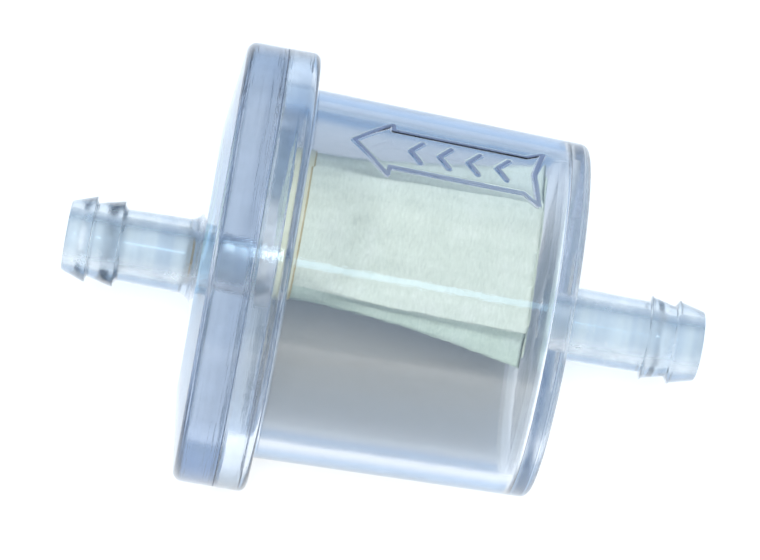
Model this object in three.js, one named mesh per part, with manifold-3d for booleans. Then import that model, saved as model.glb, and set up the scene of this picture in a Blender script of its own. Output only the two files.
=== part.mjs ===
// In-line fuel filter for a small engine: a clear round bowl with a hose nipple, closed by a
// flanged clear cap with a second nipple, around a folded paper element.
// Millimetres, +Z up. The filter's axis is X: fuel enters at +X and leaves at -X.
// The origin is on the axis, halfway between the two nipple tips.
import * as THREE from "three";
import { mergeVertices } from "three/addons/utils/BufferGeometryUtils.js";
import Module from "manifold-3d";

// Driving dimensions.
const LENGTH = 58.4; // nipple tip to nipple tip
const BORE_RADIUS = 1.75; // both hose nipples
const ROUND_STEPS = 48; // flats around every turned shape
const GAP = 0.25; // kept between pieces that touch

// Hose nipples, along each nipple from its tip.
const NIPPLE = { tip: 3.16, barb: 3.98, neck: 3.14, stem: 3.28, root: 3.42 };
const FIRST_BARB = 2.35;
const SECOND_BARB = 4.92;
const BARB_STEP = 0.15; // length of the steep back of a barb
const ROOT_FILLET = 1.3;

// Where the flange, the joint and the bowl lie along X.
const CAP_DOME = -17.25; // outer face of the cap, beside its nipple
const CAP_RIM = -15.95; // outer face of the cap, at its rim
const CAP_ROUND = 0.9;
const JOINT = -12.3; // plane in which the cap and the bowl are welded
const FLANGE_END = -9.3;
const BOWL_END = 16.0;
const FLANGE_RADIUS = 20.15;
const RIM_ROUND = 0.7;

// The bowl.
const BOWL_MOUTH_RADIUS = 16.95;
const BOWL_END_RADIUS = 16.25;
const WALL = 1.7;
const END_CHAMFER = 0.6;

// The cap's plug, which enters the mouth of the bowl, and its round recess for the element.
const PLUG_END = -10.2;
const PLUG_RADIUS = BOWL_MOUTH_RADIUS - WALL - GAP;
const RECESS_FLOOR = -12.6;

// The weld bead between the two rims.
const BEAD = { inner: 17.4, outer: 19.8, halfWidth: 0.2 };

// The paper element: a tube with a round mouth, pressed flat towards its far end. A raised flat
// panel runs along its front, and the sides slope from there to folds that spread apart.
// FACE_TILT is how far its front leans up from -Y, and the element's sections are drawn in
// (across, out): across the front, and out of it. The far end is cut at a slight slant.
const FACE_TILT = THREE.MathUtils.degToRad(41);
const PAPER = 0.45;
const MOUTH = { x: -11.4, radius: 6.75, across: 4.6, out: 0 };
const MOUTH_STRAIGHT = -8.4; // the paper is round up to here, on its collar
const FAR = { x: 12.9, out: -0.4, halfWidth: 9.45, slant: 0.04 };
const PRESS_LENGTH = 4.5; // from the round mouth to the flat panel
const PANEL = { across: -0.3, mouthHalf: 5.5, farHalf: 5.95, mouthOut: 3.7, farOut: 2.9 };
const BACK_OUT = -0.75;
const CRIMP_LENGTH = 0.6;
const SECTION_COUNT = 9;

// Small pieces around the element.
const COLLAR_WALL = 0.5;
const COLLAR_CLEARANCE = 0.05;
const GLUE = { end: -8.45, foot: 0.45, tip: 0.1, clearance: 0.05 };
const SEAM = { clearance: 0.12, thickness: 0.15, first: -7.4, last: 12.2 };
const END_BEAD = { clearance: 0.05, length: 0.4, scale: 0.86 };

// The flow arrow on top of the bowl, in (along X, around the bowl).
const MARK = {
  tip: -5.45,
  headCorner: -2.15,
  shaftStart: -2.05,
  shaftEnd: 9.95,
  tail: 11.45,
  notch: 10.8,
  headHalf: 3.45,
  shaftHalf: 2.5,
  tailHalf: 3.55,
};
const MARK_HEIGHT = 0.3;
const MARK_ROOT = 0.35; // how deep the ridges reach into the wall
const RIDGE = 0.42;
const CHEVRON = { count: 4, first: 0.6, pitch: 2.6, reach: 0.95, half: 1.3 };

const COLOURS = {
  clear: { color: 0xc6d6ee, roughness: 0.12, metalness: 0, opacity: 0.45, transparent: true },
  weld: { color: 0xdfe6f2, roughness: 0.55, metalness: 0 },
  paper: { color: 0xdcdfc6, roughness: 0.95, metalness: 0 },
  collar: { color: 0xd9dde2, roughness: 0.5, metalness: 0 },
  glue: { color: 0xc99a4c, roughness: 0.3, metalness: 0 },
};

const wasm = await Module();
wasm.setup();

const filter = new THREE.Group();

function addPiece(name, geometry, look) {
  const piece = new THREE.Mesh(geometry, new THREE.MeshStandardMaterial(look));
  piece.name = name;
  filter.add(piece);
  return piece;
}

function toSolid(geometry) {
  const bare = geometry.clone();
  bare.deleteAttribute("normal");
  bare.deleteAttribute("uv");
  const merged = mergeVertices(bare, 1e-4);
  return new wasm.Manifold(
    new wasm.Mesh({
      numProp: 3,
      vertProperties: merged.attributes.position.array,
      triVerts: new Uint32Array(merged.index.array),
    }),
  );
}

function toGeometry(solid) {
  const mesh = solid.getMesh();
  const geometry = new THREE.BufferGeometry();
  geometry.setAttribute("position", new THREE.BufferAttribute(mesh.vertProperties, 3));
  geometry.setIndex(new THREE.BufferAttribute(mesh.triVerts, 1));
  geometry.computeVertexNormals();
  return geometry;
}

// A solid turned about X from a closed profile of [x, radius] points.
function turned(profile) {
  const points = [...profile, profile[0]].map(([x, radius]) => new THREE.Vector2(radius, x));
  const geometry = new THREE.LatheGeometry(points, ROUND_STEPS);
  geometry.rotateZ(-Math.PI / 2);
  return geometry;
}

// A quarter-round between two directions, as [x, radius] points around a centre.
function roundCorner(x, radius, size, fromAngle, toAngle) {
  const steps = 3;
  const points = [];
  for (let i = 0; i <= steps; i += 1) {
    const angle = fromAngle + ((toAngle - fromAngle) * i) / steps;
    points.push([x + size * Math.cos(angle), radius + size * Math.sin(angle)]);
  }
  return points;
}

// The outside of a hose nipple from its tip at X = tipX to its root, as [x, radius] points.
// direction is +1 where the nipple runs towards +X from its tip.
function nippleOutline(tipX, rootX, rootRadius, direction) {
  const at = (distance) => tipX + direction * distance;
  const outline = [
    [at(0), NIPPLE.tip],
    [at(FIRST_BARB), NIPPLE.barb],
    [at(FIRST_BARB + BARB_STEP), NIPPLE.neck],
    [at(SECOND_BARB), NIPPLE.barb],
    [at(SECOND_BARB + BARB_STEP), NIPPLE.stem],
    [rootX - direction * ROOT_FILLET, NIPPLE.root],
  ];
  const steps = 3;
  for (let i = 1; i <= steps; i += 1) {
    const angle = (Math.PI / 2) * (i / steps);
    const x = rootX - direction * ROOT_FILLET * (1 - Math.sin(angle));
    outline.push([x, NIPPLE.root + (rootRadius - NIPPLE.root) * (1 - Math.cos(angle))]);
  }
  return outline;
}

// The cap: nipple, shallow dome, rim, and a plug with an off-centre recess.
function makeOutletCap() {
  const jointFace = JOINT - GAP;
  const body = toSolid(
    turned([
      [-LENGTH / 2, BORE_RADIUS],
      ...nippleOutline(-LENGTH / 2, CAP_DOME, NIPPLE.root + ROOT_FILLET, 1),
      ...roundCorner(
        CAP_RIM + CAP_ROUND,
        FLANGE_RADIUS - CAP_ROUND,
        CAP_ROUND,
        Math.PI,
        Math.PI / 2,
      ),
      [jointFace, FLANGE_RADIUS],
      [jointFace, PLUG_RADIUS],
      [PLUG_END, PLUG_RADIUS],
      [PLUG_END, BORE_RADIUS],
    ]),
  );
  const depth = PLUG_END - RECESS_FLOOR + 1;
  const cutter = new THREE.CylinderGeometry(
    MOUTH.radius + GAP,
    MOUTH.radius + GAP,
    depth,
    ROUND_STEPS,
  );
  cutter.rotateZ(Math.PI / 2);
  const centre = elementPoint(RECESS_FLOOR + depth / 2, MOUTH.across, MOUTH.out);
  cutter.translate(centre.x, centre.y, centre.z);
  return toGeometry(body.subtract(toSolid(cutter)));
}

// One straight ridge of the flow arrow, from (x0, u0) to (x1, u1), wrapped on the bowl.
function ridge([x0, u0], [x1, u1]) {
  const length = Math.hypot(x1 - x0, u1 - u0);
  const across = Math.abs(u1 - u0);
  const steps = Math.max(1, Math.ceil(across / 1.2));
  const height = MARK_HEIGHT + MARK_ROOT;
  const bar = new THREE.BoxGeometry(length + RIDGE, RIDGE, height, steps, 1, 1);
  bar.rotateZ(Math.atan2(u1 - u0, x1 - x0));
  bar.translate((x0 + x1) / 2, (u0 + u1) / 2, height / 2 - MARK_ROOT);
  const position = bar.attributes.position;
  for (let i = 0; i < position.count; i += 1) {
    const radius = bowlRadius(position.getX(i));
    const angle = position.getY(i) / radius;
    const out = radius + position.getZ(i);
    position.setXYZ(i, position.getX(i), out * Math.sin(angle), out * Math.cos(angle));
  }
  return toSolid(bar);
}

// The bowl's outer radius at a place along X: it narrows a little towards its end.
function bowlRadius(x) {
  const share = (x - FLANGE_END) / (BOWL_END - FLANGE_END);
  return BOWL_MOUTH_RADIUS + (BOWL_END_RADIUS - BOWL_MOUTH_RADIUS) * share;
}

// The arrow's outline with a forked tail, and plain chevrons inside that point downstream.
function flowArrow() {
  const ridges = [];
  for (const side of [-1, 1]) {
    const head = [MARK.headCorner, side * MARK.headHalf];
    const shaftStart = [MARK.shaftStart, side * MARK.shaftHalf];
    const shaftEnd = [MARK.shaftEnd, side * MARK.shaftHalf];
    const tail = [MARK.tail, side * MARK.tailHalf];
    ridges.push(ridge([MARK.tip, 0], head));
    ridges.push(ridge(head, shaftStart));
    ridges.push(ridge(shaftStart, shaftEnd));
    ridges.push(ridge(shaftEnd, tail));
    ridges.push(ridge([MARK.notch, 0], tail));
    for (let i = 0; i < CHEVRON.count; i += 1) {
      const point = CHEVRON.first + i * CHEVRON.pitch;
      ridges.push(ridge([point - CHEVRON.reach, 0], [point, side * CHEVRON.half]));
    }
  }
  return ridges;
}

// The bowl: mouth flange, barrel, flat end wall and inlet nipple, with the arrow raised on top.
function makeBowl() {
  const jointFace = JOINT + GAP;
  const inner = (x) => bowlRadius(x) - WALL;
  const endWall = BOWL_END - WALL;
  const nipple = nippleOutline(LENGTH / 2, BOWL_END, NIPPLE.root + 0.5, -1).reverse();
  let body = toSolid(
    turned([
      [jointFace, inner(FLANGE_END)],
      [jointFace, FLANGE_RADIUS],
      ...roundCorner(
        FLANGE_END - RIM_ROUND,
        FLANGE_RADIUS - RIM_ROUND,
        RIM_ROUND,
        Math.PI / 2,
        0,
      ),
      [FLANGE_END, bowlRadius(FLANGE_END) + 0.25],
      [FLANGE_END + 0.25, bowlRadius(FLANGE_END + 0.25)],
      [BOWL_END - END_CHAMFER, bowlRadius(BOWL_END - END_CHAMFER)],
      [BOWL_END, bowlRadius(BOWL_END) - END_CHAMFER],
      ...nipple,
      [LENGTH / 2, BORE_RADIUS],
      [endWall, BORE_RADIUS],
      [endWall, inner(endWall) - END_CHAMFER],
      [endWall - END_CHAMFER, inner(endWall - END_CHAMFER)],
    ]),
  );
  for (const bar of flowArrow()) body = body.add(bar);
  return toGeometry(body);
}

function makeWeldBead() {
  const { inner, outer, halfWidth } = BEAD;
  return turned([
    [JOINT - halfWidth, inner],
    [JOINT - halfWidth, outer - halfWidth],
    [JOINT, outer],
    [JOINT + halfWidth, outer - halfWidth],
    [JOINT + halfWidth, inner],
  ]);
}

// A point of the element's own (across, out) plane at a place along X.
function elementPoint(x, across, out) {
  const sin = Math.sin(FACE_TILT);
  const cos = Math.cos(FACE_TILT);
  return new THREE.Vector3(x, across * sin - out * cos, across * cos + out * sin);
}

// Half of the pressed outline, from the middle of the front panel, round one side fold, to the
// middle of the back. share runs from 0 at the mouth to 1 at the far end, and each point's
// angle is its place on the round mouth.
function pressedHalf(share, inset) {
  const { lerp } = THREE.MathUtils;
  const panel = lerp(PANEL.mouthHalf, PANEL.farHalf, share) - inset;
  const front = lerp(PANEL.mouthOut, PANEL.farOut, share) - inset;
  const fold = lerp(MOUTH.radius, FAR.halfWidth, share ** 0.9) - 2 * inset;
  const side = fold - panel;
  const valley = 0.38 * (front + inset) + 0.12 - inset;
  const back = BACK_OUT + inset;
  return [
    { angle: 0, across: 0, out: front },
    { angle: 14, across: panel * 0.3, out: front },
    { angle: 28, across: panel * 0.62, out: front },
    { angle: 43, across: panel * 0.92, out: front },
    { angle: 54, across: panel, out: front - 0.25 },
    { angle: 64, across: panel + side * 0.3, out: valley },
    { angle: 77, across: panel + side * 0.7, out: valley * 0.35 },
    { angle: 90, across: fold, out: 0.08 },
    { angle: 96, across: fold, out: -0.08 },
    { angle: 114, across: fold * 0.82, out: back },
    { angle: 136, across: fold * 0.55, out: back },
    { angle: 158, across: fold * 0.27, out: back },
    { angle: 180, across: 0, out: back },
  ];
}

// The element's outline at a place along X, inset by some of the paper's thickness.
function elementSection(x, inset) {
  const { lerp, clamp, smoothstep } = THREE.MathUtils;
  const share = clamp((x - MOUTH_STRAIGHT) / (FAR.x - MOUTH_STRAIGHT), 0, 1);
  const frontPress = smoothstep(x - MOUTH_STRAIGHT, 0, PRESS_LENGTH);
  const backPress = share ** 0.85;
  const half = pressedHalf(share, inset);
  const mirrored = half.slice(1, -1).reverse();
  const outline = [
    ...half.map((p) => ({ ...p, side: 1 })),
    ...mirrored.map((p) => ({ ...p, side: -1 })),
  ];
  return outline.map(({ angle, across, out, side }) => {
    const turn = THREE.MathUtils.degToRad(angle);
    const radius = MOUTH.radius - inset;
    const press = angle < 80 ? frontPress : backPress;
    const shift = angle < 60 ? PANEL.across : 0;
    const a = lerp(radius * Math.sin(turn) * side, across * side + shift, press);
    const o = lerp(radius * Math.cos(turn), out, press) + FAR.out * share;
    return elementPoint(x - FAR.slant * share * a, MOUTH.across + a, MOUTH.out + o);
  });
}

// A closed solid through a row of outlines that all have the same number of points.
function lofted(sections) {
  const positions = [];
  const quad = (a, b, c, d) => {
    for (const corner of [a, b, c, a, c, d]) positions.push(corner.x, corner.y, corner.z);
  };
  const count = sections[0].length;
  for (let row = 0; row + 1 < sections.length; row += 1) {
    for (let i = 0; i < count; i += 1) {
      const j = (i + 1) % count;
      quad(sections[row][j], sections[row][i], sections[row + 1][i], sections[row + 1][j]);
    }
  }
  addEnd(positions, sections[0], false);
  addEnd(positions, sections.at(-1), true);
  const geometry = new THREE.BufferGeometry();
  geometry.setAttribute("position", new THREE.Float32BufferAttribute(positions, 3));
  return mergeVertices(geometry, 1e-4);
}

// Closes one end of a loft with a flat face, triangulated in its own (across, out) plane.
function addEnd(positions, section, facesForward) {
  const sin = Math.sin(FACE_TILT);
  const cos = Math.cos(FACE_TILT);
  const contour = section.map(
    (p) => new THREE.Vector2(p.y * sin + p.z * cos, p.z * sin - p.y * cos),
  );
  const clockwise = THREE.ShapeUtils.isClockWise(contour);
  for (const [a, b, c] of THREE.ShapeUtils.triangulateShape(contour, [])) {
    const order = clockwise === facesForward ? [a, b, c] : [c, b, a];
    for (const k of order) positions.push(section[k].x, section[k].y, section[k].z);
  }
}

function stations(first, last, count) {
  return Array.from({ length: count }, (_, i) => first + ((last - first) * i) / (count - 1));
}

// The paper: an open round mouth, and a far end that is pressed flat and closed.
function makeFilterElement() {
  const along = [MOUTH.x, ...stations(MOUTH_STRAIGHT, FAR.x, SECTION_COUNT)];
  const outside = lofted(along.map((x) => elementSection(x, 0)));
  const hollow = [MOUTH.x - 1, ...stations(MOUTH_STRAIGHT, FAR.x - CRIMP_LENGTH, SECTION_COUNT)];
  const inside = lofted(hollow.map((x) => elementSection(x, PAPER)));
  return toGeometry(toSolid(outside).subtract(toSolid(inside)));
}

// A ring around the element's mouth, turned from [x, radius] points and moved off-centre.
function mouthRing(profile) {
  const ring = turned(profile);
  const centre = elementPoint(0, MOUTH.across, MOUTH.out);
  ring.translate(0, centre.y, centre.z);
  return ring;
}

// The stiff collar inside the paper's round mouth.
function makeElementCollar() {
  const outer = (MOUTH.radius - PAPER) * Math.cos(Math.PI / 12) - COLLAR_CLEARANCE;
  const inner = outer - COLLAR_WALL;
  return mouthRing([
    [MOUTH.x, inner],
    [MOUTH.x, outer],
    [MOUTH_STRAIGHT, outer],
    [MOUTH_STRAIGHT, inner],
  ]);
}

// The fillet of amber adhesive that seals the paper to the cap.
function makeMouthAdhesive() {
  const foot = PLUG_END + GLUE.clearance;
  const inner = MOUTH.radius + GLUE.clearance;
  return mouthRing([
    [foot, inner],
    [foot, inner + GLUE.foot],
    [GLUE.end, inner + GLUE.tip],
    [GLUE.end, inner],
  ]);
}

// The line of adhesive along the paper's lapped seam, in the middle of its back.
function makeSeamAdhesive() {
  const along = [SEAM.first, ...stations(MOUTH_STRAIGHT, FAR.x, SECTION_COUNT), SEAM.last]
    .filter((x) => x >= SEAM.first && x <= SEAM.last)
    .sort((a, b) => a - b);
  const outward = elementPoint(0, 0, -1);
  const sections = along.map((x) => {
    const outline = elementSection(x, 0);
    const low = outline[11];
    const high = outline[12];
    const lift = (p, by) => p.clone().addScaledVector(outward, by);
    const foot = SEAM.clearance;
    const top = foot + SEAM.thickness;
    return [lift(high, foot), lift(low, foot), lift(low, top), lift(high, top)];
  });
  return lofted(sections);
}

// The bead of adhesive that closes the pressed far end.
function makeEndAdhesive() {
  const outline = elementSection(FAR.x, PAPER / 2);
  const middle = elementPoint(FAR.x, MOUTH.across, FAR.out);
  const at = (step) =>
    outline.map((p) => {
      const q = middle.clone().lerp(p, END_BEAD.scale);
      q.x += step;
      return q;
    });
  return lofted([at(END_BEAD.clearance), at(END_BEAD.clearance + END_BEAD.length)]);
}

addPiece("bowl", makeBowl(), COLOURS.clear);
addPiece("outlet_cap", makeOutletCap(), COLOURS.clear);
addPiece("weld_bead", makeWeldBead(), COLOURS.weld);
addPiece("filter_element", makeFilterElement(), COLOURS.paper);
addPiece("element_collar", makeElementCollar(), COLOURS.collar);
addPiece("mouth_adhesive", makeMouthAdhesive(), COLOURS.glue);
addPiece("seam_adhesive", makeSeamAdhesive(), COLOURS.glue);
addPiece("end_adhesive", makeEndAdhesive(), COLOURS.glue);

export default filter;
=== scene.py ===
import math

import bpy
from mathutils import Matrix, Vector, noise


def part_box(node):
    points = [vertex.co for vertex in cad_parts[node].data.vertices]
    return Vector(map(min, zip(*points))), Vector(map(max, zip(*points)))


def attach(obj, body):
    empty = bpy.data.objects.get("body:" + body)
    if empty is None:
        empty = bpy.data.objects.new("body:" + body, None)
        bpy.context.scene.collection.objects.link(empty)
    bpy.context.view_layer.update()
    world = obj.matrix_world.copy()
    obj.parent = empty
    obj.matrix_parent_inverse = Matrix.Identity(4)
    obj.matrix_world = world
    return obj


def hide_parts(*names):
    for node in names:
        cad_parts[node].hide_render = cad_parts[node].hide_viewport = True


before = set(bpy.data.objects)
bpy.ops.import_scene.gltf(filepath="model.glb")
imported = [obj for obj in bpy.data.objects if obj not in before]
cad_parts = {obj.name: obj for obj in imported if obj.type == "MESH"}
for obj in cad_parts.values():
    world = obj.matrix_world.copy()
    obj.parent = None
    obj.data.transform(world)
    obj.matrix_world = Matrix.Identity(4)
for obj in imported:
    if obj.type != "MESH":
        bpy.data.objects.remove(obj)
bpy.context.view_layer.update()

MM = 0.001

# ---------------------------------------------------------------- places taken from the frame


def node_box(name):
    low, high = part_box(name)
    return low / MM, high / MM


_, BOWL_HIGH = node_box("bowl")
CAP_LOW, CAP_HIGH = node_box("outlet_cap")
BEAD_LOW, BEAD_HIGH = node_box("weld_bead")
PAPER_LOW, _ = node_box("filter_element")
COLLAR_LOW, COLLAR_HIGH = node_box("element_collar")
GLUE_LOW, GLUE_HIGH = node_box("mouth_adhesive")
SEAM_LOW, SEAM_HIGH = node_box("seam_adhesive")

INLET_TIP = BOWL_HIGH.x
OUTLET_TIP = CAP_LOW.x
JOINT = (BEAD_LOW.x + BEAD_HIGH.x) / 2
PLUG_END = CAP_HIGH.x
FLANGE_RADIUS = CAP_HIGH.z
MOUTH_Y = (COLLAR_LOW.y + COLLAR_HIGH.y) / 2
MOUTH_Z = (COLLAR_LOW.z + COLLAR_HIGH.z) / 2
COLLAR_RADIUS = (COLLAR_HIGH.z - COLLAR_LOW.z) / 2
PAPER_START = PAPER_LOW.x

# ---------------------------------------------------------------- sizes of the moulded shells

# Radii of a nipple, and how far its barbs' edges are from its tip.
BORE = 1.75
TIP, BARB, NECK, STEM, ROOT = 3.16, 3.98, 3.14, 3.28, 3.42
FIRST_BARB, SECOND_BARB, BARB_STEP = 2.35, 4.92, 0.15

# The cap: X of its dome and rim, and its plug, which has a recess for the paper's mouth.
CAP_DOME, CAP_RIM = -17.25, -15.95
DOME_RADIUS, DOME_ROUND = 12.0, 6.0
PLUG_RADIUS = 15.0
RECESS_FLOOR, RECESS_RADIUS = -12.6, 7.0
STAINS = [(-15.8, -16.1), (-16.95, -17.4)]

# The bowl: X of its two ends, its radii there, and where its clearer end zones start.
FLANGE_END, BOWL_END = -9.3, 16.0
MOUTH_RADIUS, END_RADIUS = 16.95, 16.25
WALL = 1.7
END_ZONE, INNER_END_ZONE = 13.6, 13.1
END_FACE_RADIUS = 7.0

# The joint between the two rims, and the line of weld in it.
RIM_GAP = 0.04
WELD_INNER, WELD_HALF = 17.4, 0.012

FACE_TILT = math.radians(41)
TURN_STEPS = 192
RING_STEPS = 96
ARC_STEP = math.radians(12)

# ---------------------------------------------------------------- mesh helpers


def add_object(name, verts, faces, materials, slot, stands_for, finishes=None):
    """One visible piece, in the frame's metres, that rides on the root and replaces a CAD node.

    finishes gives each face's place in materials.
    """
    mesh = bpy.data.meshes.new(name)
    mesh.from_pydata([Vector(v) * MM for v in verts], [], faces)
    mesh.update()
    for material in materials:
        mesh.materials.append(material)
    if finishes:
        mesh.polygons.foreach_set("material_index", finishes)
    if signed_volume(mesh) < 0:
        mesh.flip_normals()
    mesh.polygons.foreach_set("use_smooth", [True] * len(mesh.polygons))
    piece = bpy.data.objects.new(name, mesh)
    bpy.context.scene.collection.objects.link(piece)
    weighted = piece.modifiers.new("weighted_normals", "WEIGHTED_NORMAL")
    weighted.weight = 80
    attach(piece, "root")
    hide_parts(stands_for)
    return piece


def signed_volume(mesh):
    mesh.calc_loop_triangles()
    total = 0.0
    for tri in mesh.loop_triangles:
        a, b, c = (mesh.vertices[i].co for i in tri.vertices)
        total += a.dot(b.cross(c))
    return total / 6


def rounded(corners):
    """A closed outline of (x, radius, shift, finish), from corners that each become an arc.

    A corner is (x, radius, arc radius, shift, finish). shift is 1 where the ring is centred on
    the paper's mouth, and finish is the place in the piece's materials from there on.
    """
    outline = []
    count = len(corners)
    for i, (x, r, size, shift, finish) in enumerate(corners):
        here = Vector((x, r))
        before = Vector(corners[i - 1][:2])
        after = Vector(corners[(i + 1) % count][:2])
        if size <= 0:
            outline.append((x, r, shift, finish))
            continue
        to_before = (before - here).normalized()
        to_after = (after - here).normalized()
        half = math.acos(max(-1, min(1, to_before.dot(to_after)))) / 2
        reach = min(size / math.tan(half), (before - here).length / 2, (after - here).length / 2)
        size = reach * math.tan(half)
        centre = here + (to_before + to_after).normalized() * (size / math.sin(half))
        start = here + to_before * reach - centre
        turn = math.pi - 2 * half
        steps = max(2, math.ceil(turn / ARC_STEP))
        side = 1 if start.x * to_after.y - start.y * to_after.x > 0 else -1
        for k in range(steps + 1):
            angle = side * turn * k / steps
            cos, sin = math.cos(angle), math.sin(angle)
            px = centre.x + start.x * cos - start.y * sin
            pr = centre.y + start.x * sin + start.y * cos
            outline.append((px, pr, shift, finish))
    return outline


def turned(outline, angles, lift=None):
    """Vertices, quads and finishes of a closed outline turned about X.

    lift(x, radius, angle) raises a point.
    """
    verts = []
    for x, radius, shift, _ in outline:
        for angle in angles:
            out = radius + (lift(x, radius, angle) if lift else 0)
            y = out * math.sin(angle) + shift * MOUTH_Y
            z = out * math.cos(angle) + shift * MOUTH_Z
            verts.append((x, y, z))
    count = len(angles)
    rows = len(outline)
    faces = []
    finishes = []
    for i in range(rows):
        faces += ring_faces(i, (i + 1) % rows, count)
        finishes += [outline[i][3]] * count
    return verts, faces, finishes


def ring_faces(ring, other, count):
    """Quads between two rings of count vertices, given by their places in the row of rings."""
    faces = []
    for k in range(count):
        m = (k + 1) % count
        faces.append((ring * count + k, ring * count + m, other * count + m, other * count + k))
    return faces


def even_angles(steps):
    return [2 * math.pi * k / steps for k in range(steps)]


# ---------------------------------------------------------------- node helpers


def new_material(name):
    material = bpy.data.materials.new(name)
    material.use_nodes = True
    tree = material.node_tree
    shader = next(n for n in tree.nodes if n.type == "BSDF_PRINCIPLED")
    return material, tree, shader


def new_plastic(name):
    """A material that is seen through, and that lamps reach through."""
    material, tree, shader = new_material(name)
    shader.inputs["Transmission Weight"].default_value = 1
    shader.inputs["IOR"].default_value = PLASTIC_IOR
    let_lamps_through(tree, shader)
    return material, tree, shader


def slant_at(tree):
    """0 where a face is seen square on, and 1 where it is seen edge on."""
    return add_node(tree, "ShaderNodeLayerWeight", {"Blend": 0.5}).outputs["Facing"]


def add_node(tree, kind, inputs=None, **settings):
    made = tree.nodes.new(kind)
    for key, value in settings.items():
        setattr(made, key, value)
    for key, value in (inputs or {}).items():
        if isinstance(value, bpy.types.NodeSocket):
            tree.links.new(value, made.inputs[key])
        else:
            made.inputs[key].default_value = value
    return made


def object_coords(tree, scale=(1, 1, 1)):
    coords = add_node(tree, "ShaderNodeTexCoord")
    return add_node(
        tree,
        "ShaderNodeMapping",
        {"Vector": coords.outputs["Object"], "Scale": scale},
    ).outputs["Vector"]


def noise_at(tree, vector, scale, detail=4.0, roughness=0.55, distortion=0.0):
    return add_node(
        tree,
        "ShaderNodeTexNoise",
        {
            "Vector": vector,
            "Scale": scale,
            "Detail": detail,
            "Roughness": roughness,
            "Distortion": distortion,
        },
    ).outputs["Fac"]


def ramp(tree, value, stops):
    """A colour ramp through (position, colour) stops, where a colour may be one grey number."""
    made = add_node(tree, "ShaderNodeValToRGB", {"Fac": value})
    elements = made.color_ramp.elements
    while len(elements) < len(stops):
        elements.new(0.5)
    for element, (position, colour) in zip(elements, stops):
        element.position = position
        if isinstance(colour, (int, float)):
            colour = (colour, colour, colour)
        element.color = (*colour, 1)
    return made.outputs["Color"]


def bump(tree, height, strength, distance, normal=None):
    inputs = {"Height": height, "Strength": strength, "Distance": distance}
    if normal is not None:
        inputs["Normal"] = normal
    return add_node(tree, "ShaderNodeBump", inputs).outputs["Normal"]


def map_range(tree, value, low, high, to_low, to_high):
    return add_node(
        tree,
        "ShaderNodeMapRange",
        {
            "Value": value,
            "From Min": low,
            "From Max": high,
            "To Min": to_low,
            "To Max": to_high,
        },
    ).outputs["Result"]


# ---------------------------------------------------------------- materials

PLASTIC_IOR = 1.49
LAMP_SHARE = (0.87, 0.87, 0.86)


def let_lamps_through(tree, shader):
    """Lamps reach what is inside the clear plastic, dimmed at each of its faces."""
    lamps = add_node(tree, "ShaderNodeLightPath").outputs["Is Shadow Ray"]
    through = add_node(tree, "ShaderNodeBsdfTransparent", {"Color": (*LAMP_SHARE, 1)})
    mixed = add_node(tree, "ShaderNodeMixShader", {"Fac": lamps})
    tree.links.new(shader.outputs["BSDF"], mixed.inputs[1])
    tree.links.new(through.outputs["BSDF"], mixed.inputs[2])
    output = next(n for n in tree.nodes if n.type == "OUTPUT_MATERIAL")
    tree.links.new(mixed.outputs["Shader"], output.inputs["Surface"])


def clear_plastic(name, tints, haze):
    """Clear moulded plastic: faint flow waves, fine scratches and a little handling haze.

    tints are its (slant, colour) stops: it is bluer where it is seen through more of its wall, and
    its darker, bluer stops at a slant are also a painted reflection of the blue sky.
    """
    material, tree, shader = new_plastic(name)
    tree.links.new(ramp(tree, slant_at(tree), tints), shader.inputs["Base Color"])
    place = object_coords(tree)
    waves = noise_at(tree, place, 210, 2.0, 0.4)
    along = object_coords(tree, (0.2, 1, 1))
    scratches = noise_at(tree, along, 4200, 3.0, 0.6)
    smudge = noise_at(tree, place, 420, 5.0, 0.65)
    rough = map_range(tree, smudge, 0.35, 0.75, haze * 0.4, haze)
    tree.links.new(rough, shader.inputs["Roughness"])
    flow = bump(tree, waves, 0.05, 0.0004)
    fine = bump(tree, scratches, 0.03, 0.0001, flow)
    tree.links.new(fine, shader.inputs["Normal"])
    return material


def turned_plastic(name, tint, slanted, low, high, depth, coat=0.0):
    """Less polished faces: rings left by the mould, specks and haze, under a shine if coated.

    slanted multiplies the tint where a face is seen at a slant: partly the longer path through the
    plastic, partly a painted reflection of the blue sky.
    """
    material, tree, shader = new_plastic(name)
    shader.inputs["Coat Weight"].default_value = coat
    shader.inputs["Coat Roughness"].default_value = 0.06
    place = object_coords(tree)
    turned_about = object_coords(tree, (1, 0.04, 0.04))
    rings = noise_at(tree, turned_about, 1300, 3.0, 0.6)
    streaks = noise_at(tree, turned_about, 620, 2.0, 0.5)
    cloud = noise_at(tree, place, 500, 5.0, 0.6)
    specks = noise_at(tree, place, 6500, 2.0, 0.5)
    darker = tuple(0.85 * c for c in tint)
    colour = ramp(tree, cloud, [(0.32, darker), (0.62, tint)])
    bands = ramp(tree, streaks, [(0.38, (0.7, 0.75, 0.84)), (0.6, 1)])
    streaked = multiply(tree, colour, bands, 0.45)
    # Painted sky reflection: the tint turns bluer where the face is seen at a slant.
    slant_sky_sheen = ramp(tree, slant_at(tree), [(0.28, 1), (0.62, slanted)])
    tree.links.new(multiply(tree, streaked, slant_sky_sheen, 1.0), shader.inputs["Base Color"])
    rough = map_range(tree, cloud, 0.3, 0.7, low, high)
    tree.links.new(rough, shader.inputs["Roughness"])
    coarse = bump(tree, rings, 0.5, depth)
    tree.links.new(bump(tree, specks, 0.2, 0.00003, coarse), shader.inputs["Normal"])
    return material


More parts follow.
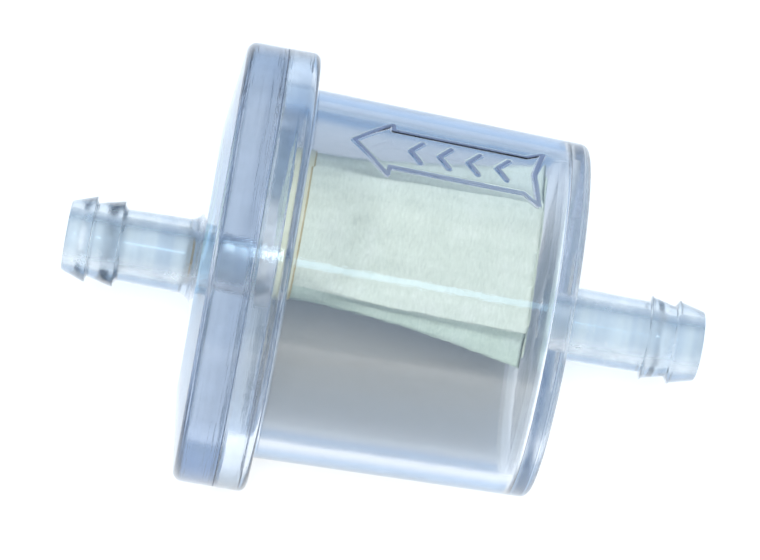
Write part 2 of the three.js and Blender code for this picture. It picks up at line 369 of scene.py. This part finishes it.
def weld_plastic():
    """Remelted plastic at the joint: cloudy, with fine bubbles."""
    material, tree, shader = new_plastic("weld_plastic")
    place = object_coords(tree)
    cells = add_node(
        tree, "ShaderNodeTexVoronoi", {"Vector": place, "Scale": 2600.0}
    ).outputs["Distance"]
    cloud = noise_at(tree, place, 900, 4.0)
    colour = ramp(tree, cloud, [(0.3, (0.62, 0.68, 0.82)), (0.7, (0.86, 0.89, 0.95))])
    tree.links.new(colour, shader.inputs["Base Color"])
    rough = map_range(tree, cloud, 0.3, 0.7, 0.2, 0.6)
    tree.links.new(rough, shader.inputs["Roughness"])
    tree.links.new(bump(tree, cells, 0.5, 0.0002), shader.inputs["Normal"])
    return material


def filter_paper(name, low, middle, high):
    """Pale resin-treated paper: pressed fibres, faint blotches and soft bands along it."""
    material, tree, shader = new_material(name)
    place = object_coords(tree)
    blotch = noise_at(tree, place, 330, 5.0, 0.6)
    fibres = noise_at(tree, object_coords(tree, (1, 0.3, 0.3)), 5200, 6.0, 0.7, 0.6)
    bands = noise_at(tree, object_coords(tree, (0.06, 1, 1)), 700, 3.0, 0.5)
    grain = noise_at(tree, place, 9000, 3.0, 0.7)
    base = ramp(tree, blotch, [(0.3, low), (0.52, middle), (0.75, high)])
    toned = multiply(tree, base, ramp(tree, fibres, [(0.34, 0.72), (0.6, 1.0)]), 0.6)
    banded = multiply(tree, toned, ramp(tree, bands, [(0.35, 0.84), (0.65, 1.0)]), 0.6)
    tree.links.new(banded, shader.inputs["Base Color"])
    shader.inputs["Roughness"].default_value = 0.9
    coarse = bump(tree, fibres, 0.35, 0.0001)
    tree.links.new(bump(tree, grain, 0.3, 0.00005, coarse), shader.inputs["Normal"])
    return material


def multiply(tree, first, second, share):
    """first times second, mixed in by share."""
    mixed = add_node(tree, "ShaderNodeMix", data_type="RGBA", blend_type="MULTIPLY")
    mixed.inputs["Factor"].default_value = share
    tree.links.new(first, mixed.inputs[6])
    tree.links.new(second, mixed.inputs[7])
    return mixed.outputs[2]


def collar_plastic():
    """Satin translucent white plastic of the collar inside the paper's mouth."""
    material, tree, shader = new_material("collar_plastic")
    cloud = noise_at(tree, object_coords(tree), 700, 4.0)
    colour = ramp(tree, cloud, [(0.3, (0.78, 0.80, 0.80)), (0.7, (0.88, 0.90, 0.90))])
    tree.links.new(colour, shader.inputs["Base Color"])
    tree.links.new(map_range(tree, cloud, 0.3, 0.7, 0.35, 0.5), shader.inputs["Roughness"])
    return material


def glue(name, dark, middle, light):
    """Set adhesive: uneven in thickness, so uneven in colour, and glossy."""
    material, tree, shader = new_material(name)
    place = object_coords(tree)
    thick = noise_at(tree, place, 1100, 4.0, 0.6)
    colour = ramp(tree, thick, [(0.3, dark), (0.55, middle), (0.75, light)])
    tree.links.new(colour, shader.inputs["Base Color"])
    shader.inputs["Roughness"].default_value = 0.3
    tree.links.new(bump(tree, thick, 0.4, 0.0002), shader.inputs["Normal"])
    return material


def floor_paint():
    material, tree, shader = new_material("pale_floor")
    soft = noise_at(tree, object_coords(tree), 6, 3.0)
    colour = ramp(tree, soft, [(0.3, (0.85, 0.84, 0.83)), (0.7, (0.87, 0.86, 0.85))])
    tree.links.new(colour, shader.inputs["Base Color"])
    shader.inputs["Roughness"].default_value = 0.8
    return material


# Tints of the plastic: the body's barrel square on, at a slope and at its edge, then the others.
# DEEP and PALE multiply a tint where it is seen at a slant: partly the longer path through the
# plastic, partly a painted reflection of the blue sky.
# The barrel's grey tint square on is deepened as painted shade, for the shadowed floor seen through
# it.
BODY_TINT = (0.66, 0.665, 0.66)
SLOPE_TINT = (0.68, 0.72, 0.77)
EDGE_TINT_AND_SKY_SHEEN = (0.26, 0.43, 0.70)
RIM_TINT_AND_SKY_SHEEN = (0.12, 0.26, 0.50)
NIPPLE_TINT = (0.94, 0.99, 1.0)
CAP_TINT = (0.59, 0.66, 0.77)
FLANGE_TINT = (0.94, 0.98, 1.0)
INNER_TINT = (0.97, 0.98, 0.99)
DEEP = (0.62, 0.74, 0.90)
PALE = (0.88, 0.94, 1.0)

# Stops at a slant: partly the longer path through the wall, partly painted reflection of the blue
# sky.
BODY_TINTS_AND_SKY_SHEEN = [
    (0.1, BODY_TINT),
    (0.26, (0.64, 0.69, 0.75)),
    (0.42, SLOPE_TINT),
    (0.59, (0.80, 0.85, 0.90)),
    (0.70, EDGE_TINT_AND_SKY_SHEEN),
    (0.85, RIM_TINT_AND_SKY_SHEEN),
]
# The dome's dark blue edge stop is a painted reflection of the blue sky.
DOME_TINTS_AND_SKY_SHEEN = [(0.3, CAP_TINT), (0.8, (0.10, 0.32, 0.60))]
END_TINTS = [(0.3, (0.96, 0.98, 1.0)), (0.8, (0.94, 0.97, 1.0))]
CLEAR_BOWL = clear_plastic("clear_bowl_plastic", BODY_TINTS_AND_SKY_SHEEN, 0.06)
CLEAR_CAP = clear_plastic("clear_cap_plastic", DOME_TINTS_AND_SKY_SHEEN, 0.12)
CLEAR_END = clear_plastic("clear_end_plastic", END_TINTS, 0.2)
STAINED = turned_plastic("stained_plastic", (0.55, 0.34, 0.12), PALE, 0.3, 0.5, 0.00003)
CAP_TURNED = turned_plastic("turned_cap_plastic", CAP_TINT, DEEP, 0.03, 0.12, 0.00011)
TURNED = turned_plastic("turned_bowl_plastic", FLANGE_TINT, DEEP, 0.03, 0.12, 0.00009)
# The arrow's raised lines in dark blue: painted shade, for how dark the clear ridges look.
RIDGE = turned_plastic("ridge_plastic_painted_shade", (0.26, 0.29, 0.50), PALE, 0.3, 0.5, 0.00003)
NIPPLE = turned_plastic("nipple_plastic", NIPPLE_TINT, PALE, 0.14, 0.3, 0.00003, 1.0)
INNER = turned_plastic("inner_plastic", INNER_TINT, PALE, 0.03, 0.14, 0.00004)
BORES = turned_plastic("bore_plastic", NIPPLE_TINT, PALE, 0.35, 0.6, 0.00005)
WELD = weld_plastic()
PAPER = filter_paper("pressed_paper", (0.75, 0.84, 0.77), (0.80, 0.89, 0.82), (0.85, 0.93, 0.88))
# A darker, greener copy of the paper for its lower strip: painted shade where it faces down.
SHADED_FOLDS = filter_paper("folded_paper_painted_shade", (0.64, 0.77, 0.69), (0.69, 0.82, 0.75), (0.75, 0.87, 0.82))
COLLAR = collar_plastic()
PALE_GLUE = glue("pale_glue", (0.66, 0.69, 0.54), (0.74, 0.76, 0.62), (0.79, 0.81, 0.69))
END_GLUE = glue("end_glue", (0.62, 0.70, 0.62), (0.69, 0.77, 0.69), (0.74, 0.81, 0.75))
AMBER_GLUE = glue("amber_glue", (0.42, 0.35, 0.20), (0.55, 0.48, 0.31), (0.64, 0.59, 0.43))

# ---------------------------------------------------------------- shells


# Places in a shell's list of materials: its clear outside, turned faces, bore, inside and nipple.
# ENDED and RIDGED, the clearer end and the arrow's lines, whose dark tint is painted shade, are the
# bowl's. STAIN, the two amber rings in the bore, is the cap's.
POLISHED, RINGED, BORED, DULL, BARBED, ENDED, RIDGED = 0, 1, 2, 3, 4, 5, 6
STAIN = 5


def nipple_corners(tip, root_x, direction):
    """Corners of a hose nipple's outside, from its tip to its root."""
    places = [
        (0, TIP, 0.3),
        (FIRST_BARB, BARB, 0.1),
        (FIRST_BARB + BARB_STEP, NECK, 0.12),
        (SECOND_BARB, BARB, 0.1),
        (SECOND_BARB + BARB_STEP, STEM, 0.12),
        (abs(root_x - tip), ROOT, 1.3),
    ]
    return [(tip + direction * along, r, size, 0, BARBED) for along, r, size in places]


def bowl_radius(x):
    share = (x - FLANGE_END) / (BOWL_END - FLANGE_END)
    return MOUTH_RADIUS + (END_RADIUS - MOUTH_RADIUS) * share


def make_cap():
    joint_face = JOINT - RIM_GAP / 2
    corners = [
        (OUTLET_TIP, BORE, 0.2, 0, BARBED),
        *nipple_corners(OUTLET_TIP, CAP_DOME, 1),
        (CAP_DOME + 0.3, DOME_RADIUS, DOME_ROUND, 0, POLISHED),
        (CAP_RIM, FLANGE_RADIUS, 0.9, 0, RINGED),
        (joint_face, FLANGE_RADIUS, 0.06, 0, RINGED),
        (joint_face, PLUG_RADIUS, 0.15, 0, DULL),
        (PLUG_END, PLUG_RADIUS, 0.4, 0, DULL),
        (PLUG_END, RECESS_RADIUS, 0.15, 1, DULL),
        (RECESS_FLOOR, RECESS_RADIUS, 0.2, 1, DULL),
        (RECESS_FLOOR, BORE, 0.15, 0, BORED),
    ]
    for start, end in STAINS:
        corners += [(start, BORE, 0, 0, STAIN), (end, BORE, 0, 0, BORED)]
    verts, faces, finishes = turned(rounded(corners), even_angles(TURN_STEPS))
    looks = [CLEAR_CAP, CAP_TURNED, BORES, INNER, NIPPLE, STAINED]
    args = (verts, faces, looks, "clear_plastic", "outlet_cap", finishes)
    return add_object("cap_shell", *args)


# The flow arrow, in (along X, around the bowl). Its places match the CAD part's.
MARK_TIP, HEAD_CORNER, SHAFT_START, SHAFT_END = -5.45, -2.15, -2.05, 9.95
TAIL, NOTCH, HEAD_HALF, SHAFT_HALF, TAIL_HALF = 11.45, 10.8, 3.45, 2.5, 3.55
CHEVRON_COUNT, CHEVRON_FIRST, CHEVRON_PITCH = 4, 0.6, 2.6
CHEVRON_REACH, CHEVRON_HALF = 0.95, 1.3
MARK_HEIGHT, RIDGE_HALF, RIDGE_SLOPE = 0.085, 0.1, 0.24


def mark_lines():
    lines = []
    for side in (-1, 1):
        head = (HEAD_CORNER, side * HEAD_HALF)
        start = (SHAFT_START, side * SHAFT_HALF)
        shaft = (SHAFT_END, side * SHAFT_HALF)
        tail = (TAIL, side * TAIL_HALF)
        lines += [
            ((MARK_TIP, 0), head),
            (head, start),
            (start, shaft),
            (shaft, tail),
            ((NOTCH, 0), tail),
        ]
        for i in range(CHEVRON_COUNT):
            point = CHEVRON_FIRST + i * CHEVRON_PITCH
            lines.append(((point - CHEVRON_REACH, 0), (point, side * CHEVRON_HALF)))
    return lines


MARK_LINES = mark_lines()


def mark_height(x, around):
    """How far the raised arrow stands out of the bowl at a point of its outside."""
    nearest = math.inf
    for (x0, u0), (x1, u1) in MARK_LINES:
        dx, du = x1 - x0, u1 - u0
        t = ((x - x0) * dx + (around - u0) * du) / (dx * dx + du * du)
        t = max(0.0, min(1.0, t))
        nearest = min(nearest, math.hypot(x - x0 - t * dx, around - u0 - t * du))
    t = max(0.0, min(1.0, (RIDGE_HALF + RIDGE_SLOPE - nearest) / RIDGE_SLOPE))
    return MARK_HEIGHT * t * t * (3 - 2 * t)


MARK_MARGIN = 0.6
MARK_CELL = 0.085


def bowl_angles():
    """Angles round the bowl: fine across the arrow on top, and even elsewhere."""
    half = (HEAD_HALF + MARK_MARGIN) / END_RADIUS
    fine = round(2 * half / (MARK_CELL / END_RADIUS))
    inside = [-half + 2 * half * k / fine for k in range(fine)]
    rest = 2 * math.pi - 2 * half
    coarse = TURN_STEPS
    return inside + [half + rest * k / coarse for k in range(coarse)]


def with_mark_rows(outline):
    """Adds fine rows to the barrel's outside where the arrow stands."""
    rows = []
    count = len(outline)
    first, last = MARK_TIP - MARK_MARGIN, TAIL + MARK_MARGIN
    for i, point in enumerate(outline):
        rows.append(point)
        after = outline[(i + 1) % count]
        if point[1] < END_RADIUS - 0.1 or after[0] - point[0] < last - first:
            continue
        steps = round((last - first) / MARK_CELL)
        for k in range(steps + 1):
            x = first + (last - first) * k / steps
            rows.append((x, bowl_radius(x), 0, POLISHED))
    return rows


def make_bowl():
    joint_face = JOINT + RIM_GAP / 2
    inner = lambda x: bowl_radius(x) - WALL
    end_wall = BOWL_END - WALL
    corners = [
        (joint_face, inner(FLANGE_END), 0.15, 0, DULL),
        (joint_face, FLANGE_RADIUS, 0.06, 0, RINGED),
        (FLANGE_END, FLANGE_RADIUS, 0.7, 0, POLISHED),
        (FLANGE_END, bowl_radius(FLANGE_END), 0.35, 0, POLISHED),
        (END_ZONE, bowl_radius(END_ZONE), 0, 0, ENDED),
        (BOWL_END, bowl_radius(BOWL_END), 0.75, 0, ENDED),
        (BOWL_END, END_FACE_RADIUS, 0, 0, ENDED),
        *nipple_corners(INLET_TIP, BOWL_END, -1)[::-1],
        (INLET_TIP, BORE, 0.2, 0, BORED),
        (end_wall, BORE, 0.2, 0, ENDED),
        (end_wall, inner(end_wall), 0.4, 0, ENDED),
        (INNER_END_ZONE, inner(INNER_END_ZONE), 0, 0, POLISHED),
    ]

    def lift(x, radius, angle):
        around = (angle + math.pi) % (2 * math.pi) - math.pi
        if radius < bowl_radius(x) - 0.05 or not along_mark(x):
            return 0
        if abs(around) * radius > TAIL_HALF + MARK_MARGIN:
            return 0
        return mark_height(x, around * radius)

    outline = with_mark_rows(rounded(corners))
    verts, faces, finishes = turned(outline, bowl_angles(), lift)
    finishes = [
        RIDGED if on_ridge(verts[face[0]]) else finish for face, finish in zip(faces, finishes)
    ]
    looks = [CLEAR_BOWL, TURNED, BORES, INNER, NIPPLE, CLEAR_END, RIDGE]
    args = (verts, faces, looks, "clear_plastic", "bowl", finishes)
    return add_object("bowl_shell", *args)


def along_mark(x):
    return MARK_TIP - 1 < x < TAIL + 1


def on_ridge(point):
    """Whether a point of the bowl is on the raised lines of the arrow."""
    x, y, z = point
    if not along_mark(x) or z < 0:
        return False
    return math.hypot(y, z) - bowl_radius(x) > 0.6 * MARK_HEIGHT


def make_weld_flash():
    """The thin line of remelted plastic between the two rims."""
    places = [
        (JOINT - WELD_HALF, WELD_INNER),
        (JOINT - WELD_HALF, FLANGE_RADIUS - 0.05),
        (JOINT, FLANGE_RADIUS - 0.02),
        (JOINT + WELD_HALF, FLANGE_RADIUS - 0.05),
        (JOINT + WELD_HALF, WELD_INNER),
    ]
    outline = [(x, r, 0, 0) for x, r in places]
    verts, faces, _ = turned(outline, even_angles(TURN_STEPS))
    return add_object("weld_flash", verts, faces, [WELD], "weld_plastic", "weld_bead")


# ---------------------------------------------------------------- paper element

# The paper is a tube at its mouth, pressed flat behind and into a raised panel in front. Its places
# are across the panel and out from it. This plane is tilted by FACE_TILT.
PAPER_THICK = 0.42
PAPER_MOUTH_RADIUS = 6.75
MOUTH_ACROSS = 4.6
MOUTH_STRAIGHT = COLLAR_HIGH.x
FAR_X, FAR_LEVEL, FAR_HALF, FAR_SLANT = 12.9, -0.4, 9.45, 0.04
CRIMP = 0.6

# The panel: how soon it is pressed, its half widths and heights at both ends, and the back.
PRESS_LENGTH = 8.0
PANEL_SHIFT, PANEL_MOUTH, PANEL_FAR = -0.3, 5.5, 5.95
FRONT_MOUTH, FRONT_FAR, BACK_OUT = 3.7, 2.9, -0.75

# Degrees round the mouth: where the back starts, and where and how fast the panel's shift fades.
BACK_FROM, SHIFT_END, SHIFT_FADE = 80, 64, 10

# Steps on each stretch of the outline, and the stretches of the lower side, which is painted shade.
FINER = 4
PANEL_EDGE, FOLD_EDGE = 5, 10

# Rows along the paper, and where its crumpling starts and how long it takes to be full.
PAPER_ROWS, SEAM_ROWS = 60, 48
CRUMPLE_START, CRUMPLE_FADE = -8.0, 4.0
COLLAR_WALL = 0.5
SEAM_INSET = 0.1


def element_point(x, across, out):
    """The (x, y, z) of a place on the paper's tilted plane."""
    sin, cos = math.sin(FACE_TILT), math.cos(FACE_TILT)
    return (x, across * sin - out * cos, across * cos + out * sin)


def mix(a, b, share):
    return a + (b - a) * share


def pressed_half(share, inset):
    """(angle on the round mouth, across, out) of half the pressed outline."""
    panel = mix(PANEL_MOUTH, PANEL_FAR, share) - inset
    front = mix(FRONT_MOUTH, FRONT_FAR, share) - inset
    fold = mix(PAPER_MOUTH_RADIUS, FAR_HALF, share**0.9) - 2 * inset
    side = fold - panel
    valley = 0.38 * (front + inset) + 0.12 - inset
    back = BACK_OUT + inset
    return [
        (0, 0, front),
        (14, panel * 0.3, front),
        (28, panel * 0.62, front),
        (43, panel * 0.92, front),
        (50, panel * 0.985, front - 0.04),
        (54, panel, front - 0.25),
        (64, panel + side * 0.3, valley),
        (77, panel + side * 0.7, valley * 0.35),
        (90, fold, 0.08),
        (96, fold, -0.08),
        (114, fold * 0.82, back),
        (136, fold * 0.55, back),
        (158, fold * 0.27, back),
        (180, 0, back),
    ]


def finer(points, steps):
    """Extra points on each stretch of a closed outline."""
    made = []
    for a, b in zip(points, points[1:] + points[:1]):
        for k in range(steps):
            made.append(tuple(mix(p, q, k / steps) for p, q in zip(a, b)))
    return made


def element_section(x, inset):
    """The (x, across, out) outline of the paper at a place along X, inset by its thickness."""
    share = max(0.0, min(1.0, (x - MOUTH_STRAIGHT) / (FAR_X - MOUTH_STRAIGHT)))
    t = max(0.0, min(1.0, (x - MOUTH_STRAIGHT) / PRESS_LENGTH))
    front_press = t * t * (3 - 2 * t)
    back_press = share**0.85
    half = pressed_half(share, inset)
    outline = [(*p, 1) for p in half] + [(*p, -1) for p in half[-2:0:-1]]
    section = []
    for angle, across, out, side in outline:
        turn = math.radians(angle)
        radius = PAPER_MOUTH_RADIUS - inset
        press = front_press if angle < BACK_FROM else back_press
        shift = PANEL_SHIFT * max(0.0, min(1.0, (SHIFT_END - angle) / SHIFT_FADE))
        a = mix(radius * math.sin(turn) * side, across * side + shift, press)
        o = mix(radius * math.cos(turn), out, press) + FAR_LEVEL * share
        section.append((x - FAR_SLANT * share * a, MOUTH_ACROSS + a, o))
    return finer(section, FINER)


def crumple(x, across, out):
    """Slight waves of handled paper."""
    place = Vector((x * 0.22, across * 0.3, out * 0.3))
    return 0.12 * noise.noise(place) + 0.05 * noise.noise(place * 3.1)


def paper_rise(x, across, out):
    """The crumpling, which fades out towards the glued mouth."""
    return crumple(x, across, out) * min(1, max(0, (x - CRUMPLE_START) / CRUMPLE_FADE))


def make_paper():
    """The pouch: its outer rows from mouth to far end, then its inner rows back again."""
    rows = PAPER_ROWS
    outer, inner = [], []
    for k in range(rows + 1):
        outer.append(element_section(mix(PAPER_START, FAR_X, k / rows), 0))
        inner.append(element_section(mix(PAPER_START, FAR_X - CRIMP, k / rows), PAPER_THICK))
    count = len(outer[0])
    verts, faces = [], []
    for section in outer + inner[::-1]:
        for x, across, out in section:
            verts.append(element_point(x, across, out + paper_rise(x, across, out)))
    total = 2 * (rows + 1)
    for i in range(total):
        if i != rows:
            faces += ring_faces(i, (i + 1) % total, count)
    # The lower strip takes the darker copy of the paper, painted shade.
    finishes = [int(lower_side(count - 1 - face[0] % count)) for face in faces]
    ends = end_cap(rows * count, count) + end_cap((rows + 1) * count, count, backward=True)
    faces += ends
    finishes += [0] * len(ends)
    looks = [PAPER, SHADED_FOLDS]
    stands_for = "filter_element"
    return add_object("paper_pouch", verts, faces, looks, "filter_paper", stands_for, finishes)


def lower_side(place):
    """Whether a place, counted back along the outline, is between the panel and the lower fold."""
    return PANEL_EDGE * FINER <= place < FOLD_EDGE * FINER


def end_cap(first, count, backward=False):
    """Quads that close one end of the paper, between matching points of its two faces.

    backward is for the end where the sides' quads start, so that all faces turn the same way.
    """
    faces = []
    half = count // 2
    for k in range(half):
        a, b = first + k, first + k + 1
        c = first + (count - k - 1) % count
        d = first + (count - k) % count
        if k == 0:
            faces.append((a, b, c))
        elif k == half - 1:
            faces.append((a, b, d))
        else:
            faces.append((a, b, c, d))
    return [face[::-1] for face in faces] if backward else faces


def make_mouth_ring(name, places, looks, slot, stands_for):
    """A ring round the paper's mouth, from corners of (x, radius, arc radius, finish)."""
    outline = rounded([(x, r, size, 1, finish) for x, r, size, finish in places])
    verts, faces, finishes = turned(outline, even_angles(RING_STEPS))
    return add_object(name, verts, faces, looks, slot, stands_for, finishes)


def make_collar():
    outer = COLLAR_RADIUS
    inner = outer - COLLAR_WALL
    places = [
        (COLLAR_LOW.x, inner, 0.08, 0),
        (COLLAR_LOW.x, outer, 0.08, 0),
        (COLLAR_HIGH.x, outer, 0.08, 0),
        (COLLAR_HIGH.x, inner, 0.08, 0),
    ]
    return make_mouth_ring("collar_ring", places, [COLLAR], "collar_plastic", "element_collar")


def make_mouth_glue():
    """A pale fillet of adhesive at the paper's foot, with an amber line where it ends."""
    inner = PAPER_MOUTH_RADIUS + 0.03
    edge = GLUE_HIGH.x - 0.16
    places = [
        (GLUE_LOW.x, inner, 0, 0),
        (GLUE_LOW.x, inner + 0.42, 0.1, 0),
        (GLUE_LOW.x + 0.7, inner + 0.2, 0.3, 0),
        (edge, inner + 0.14, 0, 1),
        (GLUE_HIGH.x, inner + 0.1, 0.04, 1),
        (GLUE_HIGH.x, inner, 0, 0),
    ]
    looks = [PALE_GLUE, AMBER_GLUE]
    return make_mouth_ring("mouth_glue", places, looks, "adhesive", "mouth_adhesive")


def make_seam_glue():
    """The line of adhesive along the lapped seam, in the middle of the paper's back."""
    rows = SEAM_ROWS
    first, last = SEAM_LOW.x + SEAM_INSET, SEAM_HIGH.x - SEAM_INSET
    profile = [(0.15, 0.02), (0.35, 0.14), (1.0, 0.2), (1.6, 0.14), (1.85, 0.02)]
    verts, faces = [], []
    for k in range(rows + 1):
        section = element_section(mix(first, last, k / rows), 0)
        x, across, out = section[len(section) // 2]
        for aside, depth in profile:
            wave = 0.12 * noise.noise(Vector((x * 0.9, aside, 0)))
            low = out + paper_rise(x, across, out) - 0.1 - depth
            verts.append(element_point(x, across + aside + wave, low))
    count = len(profile)
    for i in range(rows):
        faces += ring_faces(i, i + 1, count)
    faces.append(tuple(reversed(range(count))))
    faces.append(tuple(rows * count + k for k in range(count)))
    return add_object("seam_glue", verts, faces, [AMBER_GLUE], "adhesive", "seam_adhesive")


def make_end_glue():
    """The thin bead of adhesive along the closed end of the paper.

    A ring is (step along X, share of the width, share of the depth).
    """
    outline = element_section(FAR_X, PAPER_THICK / 2)
    centre = (FAR_X, MOUTH_ACROSS, FAR_LEVEL + 0.1)
    rings = [(0.04, 0.93, 0.8), (0.22, 0.92, 0.8), (0.32, 0.88, 0.5)]
    verts, faces = [], []
    for step, wide, deep in rings:
        for x, across, out in outline:
            along = mix(centre[0], x, wide) + step
            level = mix(centre[2], out, deep) + paper_rise(x, across, out)
            verts.append(element_point(along, mix(centre[1], across, wide), level))
    count = len(outline)
    for i in range(len(rings) - 1):
        faces += ring_faces(i, i + 1, count)
    faces += end_cap(0, count, backward=True)
    faces += end_cap((len(rings) - 1) * count, count)
    return add_object("end_glue", verts, faces, [END_GLUE], "adhesive", "end_adhesive")


make_cap()
make_bowl()
make_weld_flash()
make_paper()
make_collar()
make_mouth_glue()
make_seam_glue()
make_end_glue()

# ---------------------------------------------------------------- camera

AZIMUTH, ELEVATION, ROLL = math.radians(-3.6), math.radians(41), math.radians(12.4)
DISTANCE = 374.0
LENS = 195
AIM_RIGHT, AIM_UP = -0.35, 0.99


def make_camera():
    """A long lens from in front and above, with a little roll. Gives its up and its back."""
    cos_e = math.cos(ELEVATION)
    back = Vector((math.sin(AZIMUTH) * cos_e, -math.cos(AZIMUTH) * cos_e, math.sin(ELEVATION)))
    level = Vector((math.cos(AZIMUTH), math.sin(AZIMUTH), 0))
    rise = back.cross(level)
    right = level * math.cos(ROLL) + rise * math.sin(ROLL)
    up = rise * math.cos(ROLL) - level * math.sin(ROLL)
    place = right * AIM_RIGHT + up * AIM_UP + back * DISTANCE
    camera = bpy.data.objects.new("camera", bpy.data.cameras.new("camera"))
    camera.data.lens = LENS
    camera.data.clip_start = 0.01
    camera.data.clip_end = 20
    turn = Matrix((right, up, back)).transposed()
    camera.matrix_world = Matrix.Translation(place * MM) @ turn.to_4x4()
    bpy.context.scene.collection.objects.link(camera)
    bpy.context.scene.camera = camera
    return up, back


UP, BACK = make_camera()

# ---------------------------------------------------------------- floor and light


def make_floor():
    half = 3.0
    mesh = bpy.data.meshes.new("floor")
    z = -(FLANGE_RADIUS + 0.05) * MM
    corners = [(-half, -half, z), (half, -half, z), (half, half, z), (-half, half, z)]
    mesh.from_pydata(corners, [], [(0, 1, 2, 3)])
    floor = bpy.data.objects.new("floor", mesh)
    mesh.materials.append(floor_paint())
    bpy.context.scene.collection.objects.link(floor)


def add_light(name, direction, distance, size, energy, colour, mirrored=True):
    """A rectangular lamp. One that isn't mirrored lights surfaces, and isn't seen in them."""
    data = bpy.data.lights.new(name, "AREA")
    data.shape = "RECTANGLE"
    data.size, data.size_y = size
    data.energy = energy
    data.color = colour
    light = bpy.data.objects.new(name, data)
    light.visible_glossy = mirrored
    light.visible_transmission = False
    direction = direction.normalized()
    light.location = direction * distance
    light.rotation_euler = direction.to_track_quat("Z", "Y").to_euler()
    bpy.context.scene.collection.objects.link(light)
    return light


def make_world():
    world = bpy.data.worlds.new("studio")
    bpy.context.scene.world = world
    world.use_nodes = True
    tree = world.node_tree
    background = next(n for n in tree.nodes if n.type == "BACKGROUND")
    coords = add_node(tree, "ShaderNodeTexCoord")
    height = add_node(tree, "ShaderNodeSeparateXYZ", {"Vector": coords.outputs["Generated"]})
    colour = ramp(
        tree,
        map_range(tree, height.outputs["Z"], -1, 1, 0, 1),
        [(0.45, (0.62, 0.75, 0.90)), (0.65, (0.45, 0.60, 0.82)), (0.95, (0.30, 0.43, 0.60))],
    )
    tree.links.new(colour, background.inputs["Color"])
    background.inputs["Strength"].default_value = 1.0


make_floor()
make_world()

# Towards the lamp whose mirror image is the streak along the barrel, and how far along X from it
# the lamp of the small glint is.
STREAK_AT = BACK + UP * 0.15
GLINT_SHIFT = Vector((0.095, 0, 0))
add_light("key", BACK + UP * 0.05, 0.9, (0.2, 0.2), 12.5, (1.0, 0.98, 0.95), mirrored=False)
add_light("glint", STREAK_AT + GLINT_SHIFT, 0.7, (0.05, 0.05), 0.2, (0.7, 0.88, 1.0))
add_light("strip", STREAK_AT, 0.7, (0.34, 0.05), 0.3, (0.45, 0.75, 1.0))

view = bpy.context.scene.view_settings
view.view_transform = "Standard"
bpy.context.scene.cycles.max_bounces = 24
bpy.context.scene.cycles.transmission_bounces = 20
bpy.context.scene.cycles.glossy_bounces = 8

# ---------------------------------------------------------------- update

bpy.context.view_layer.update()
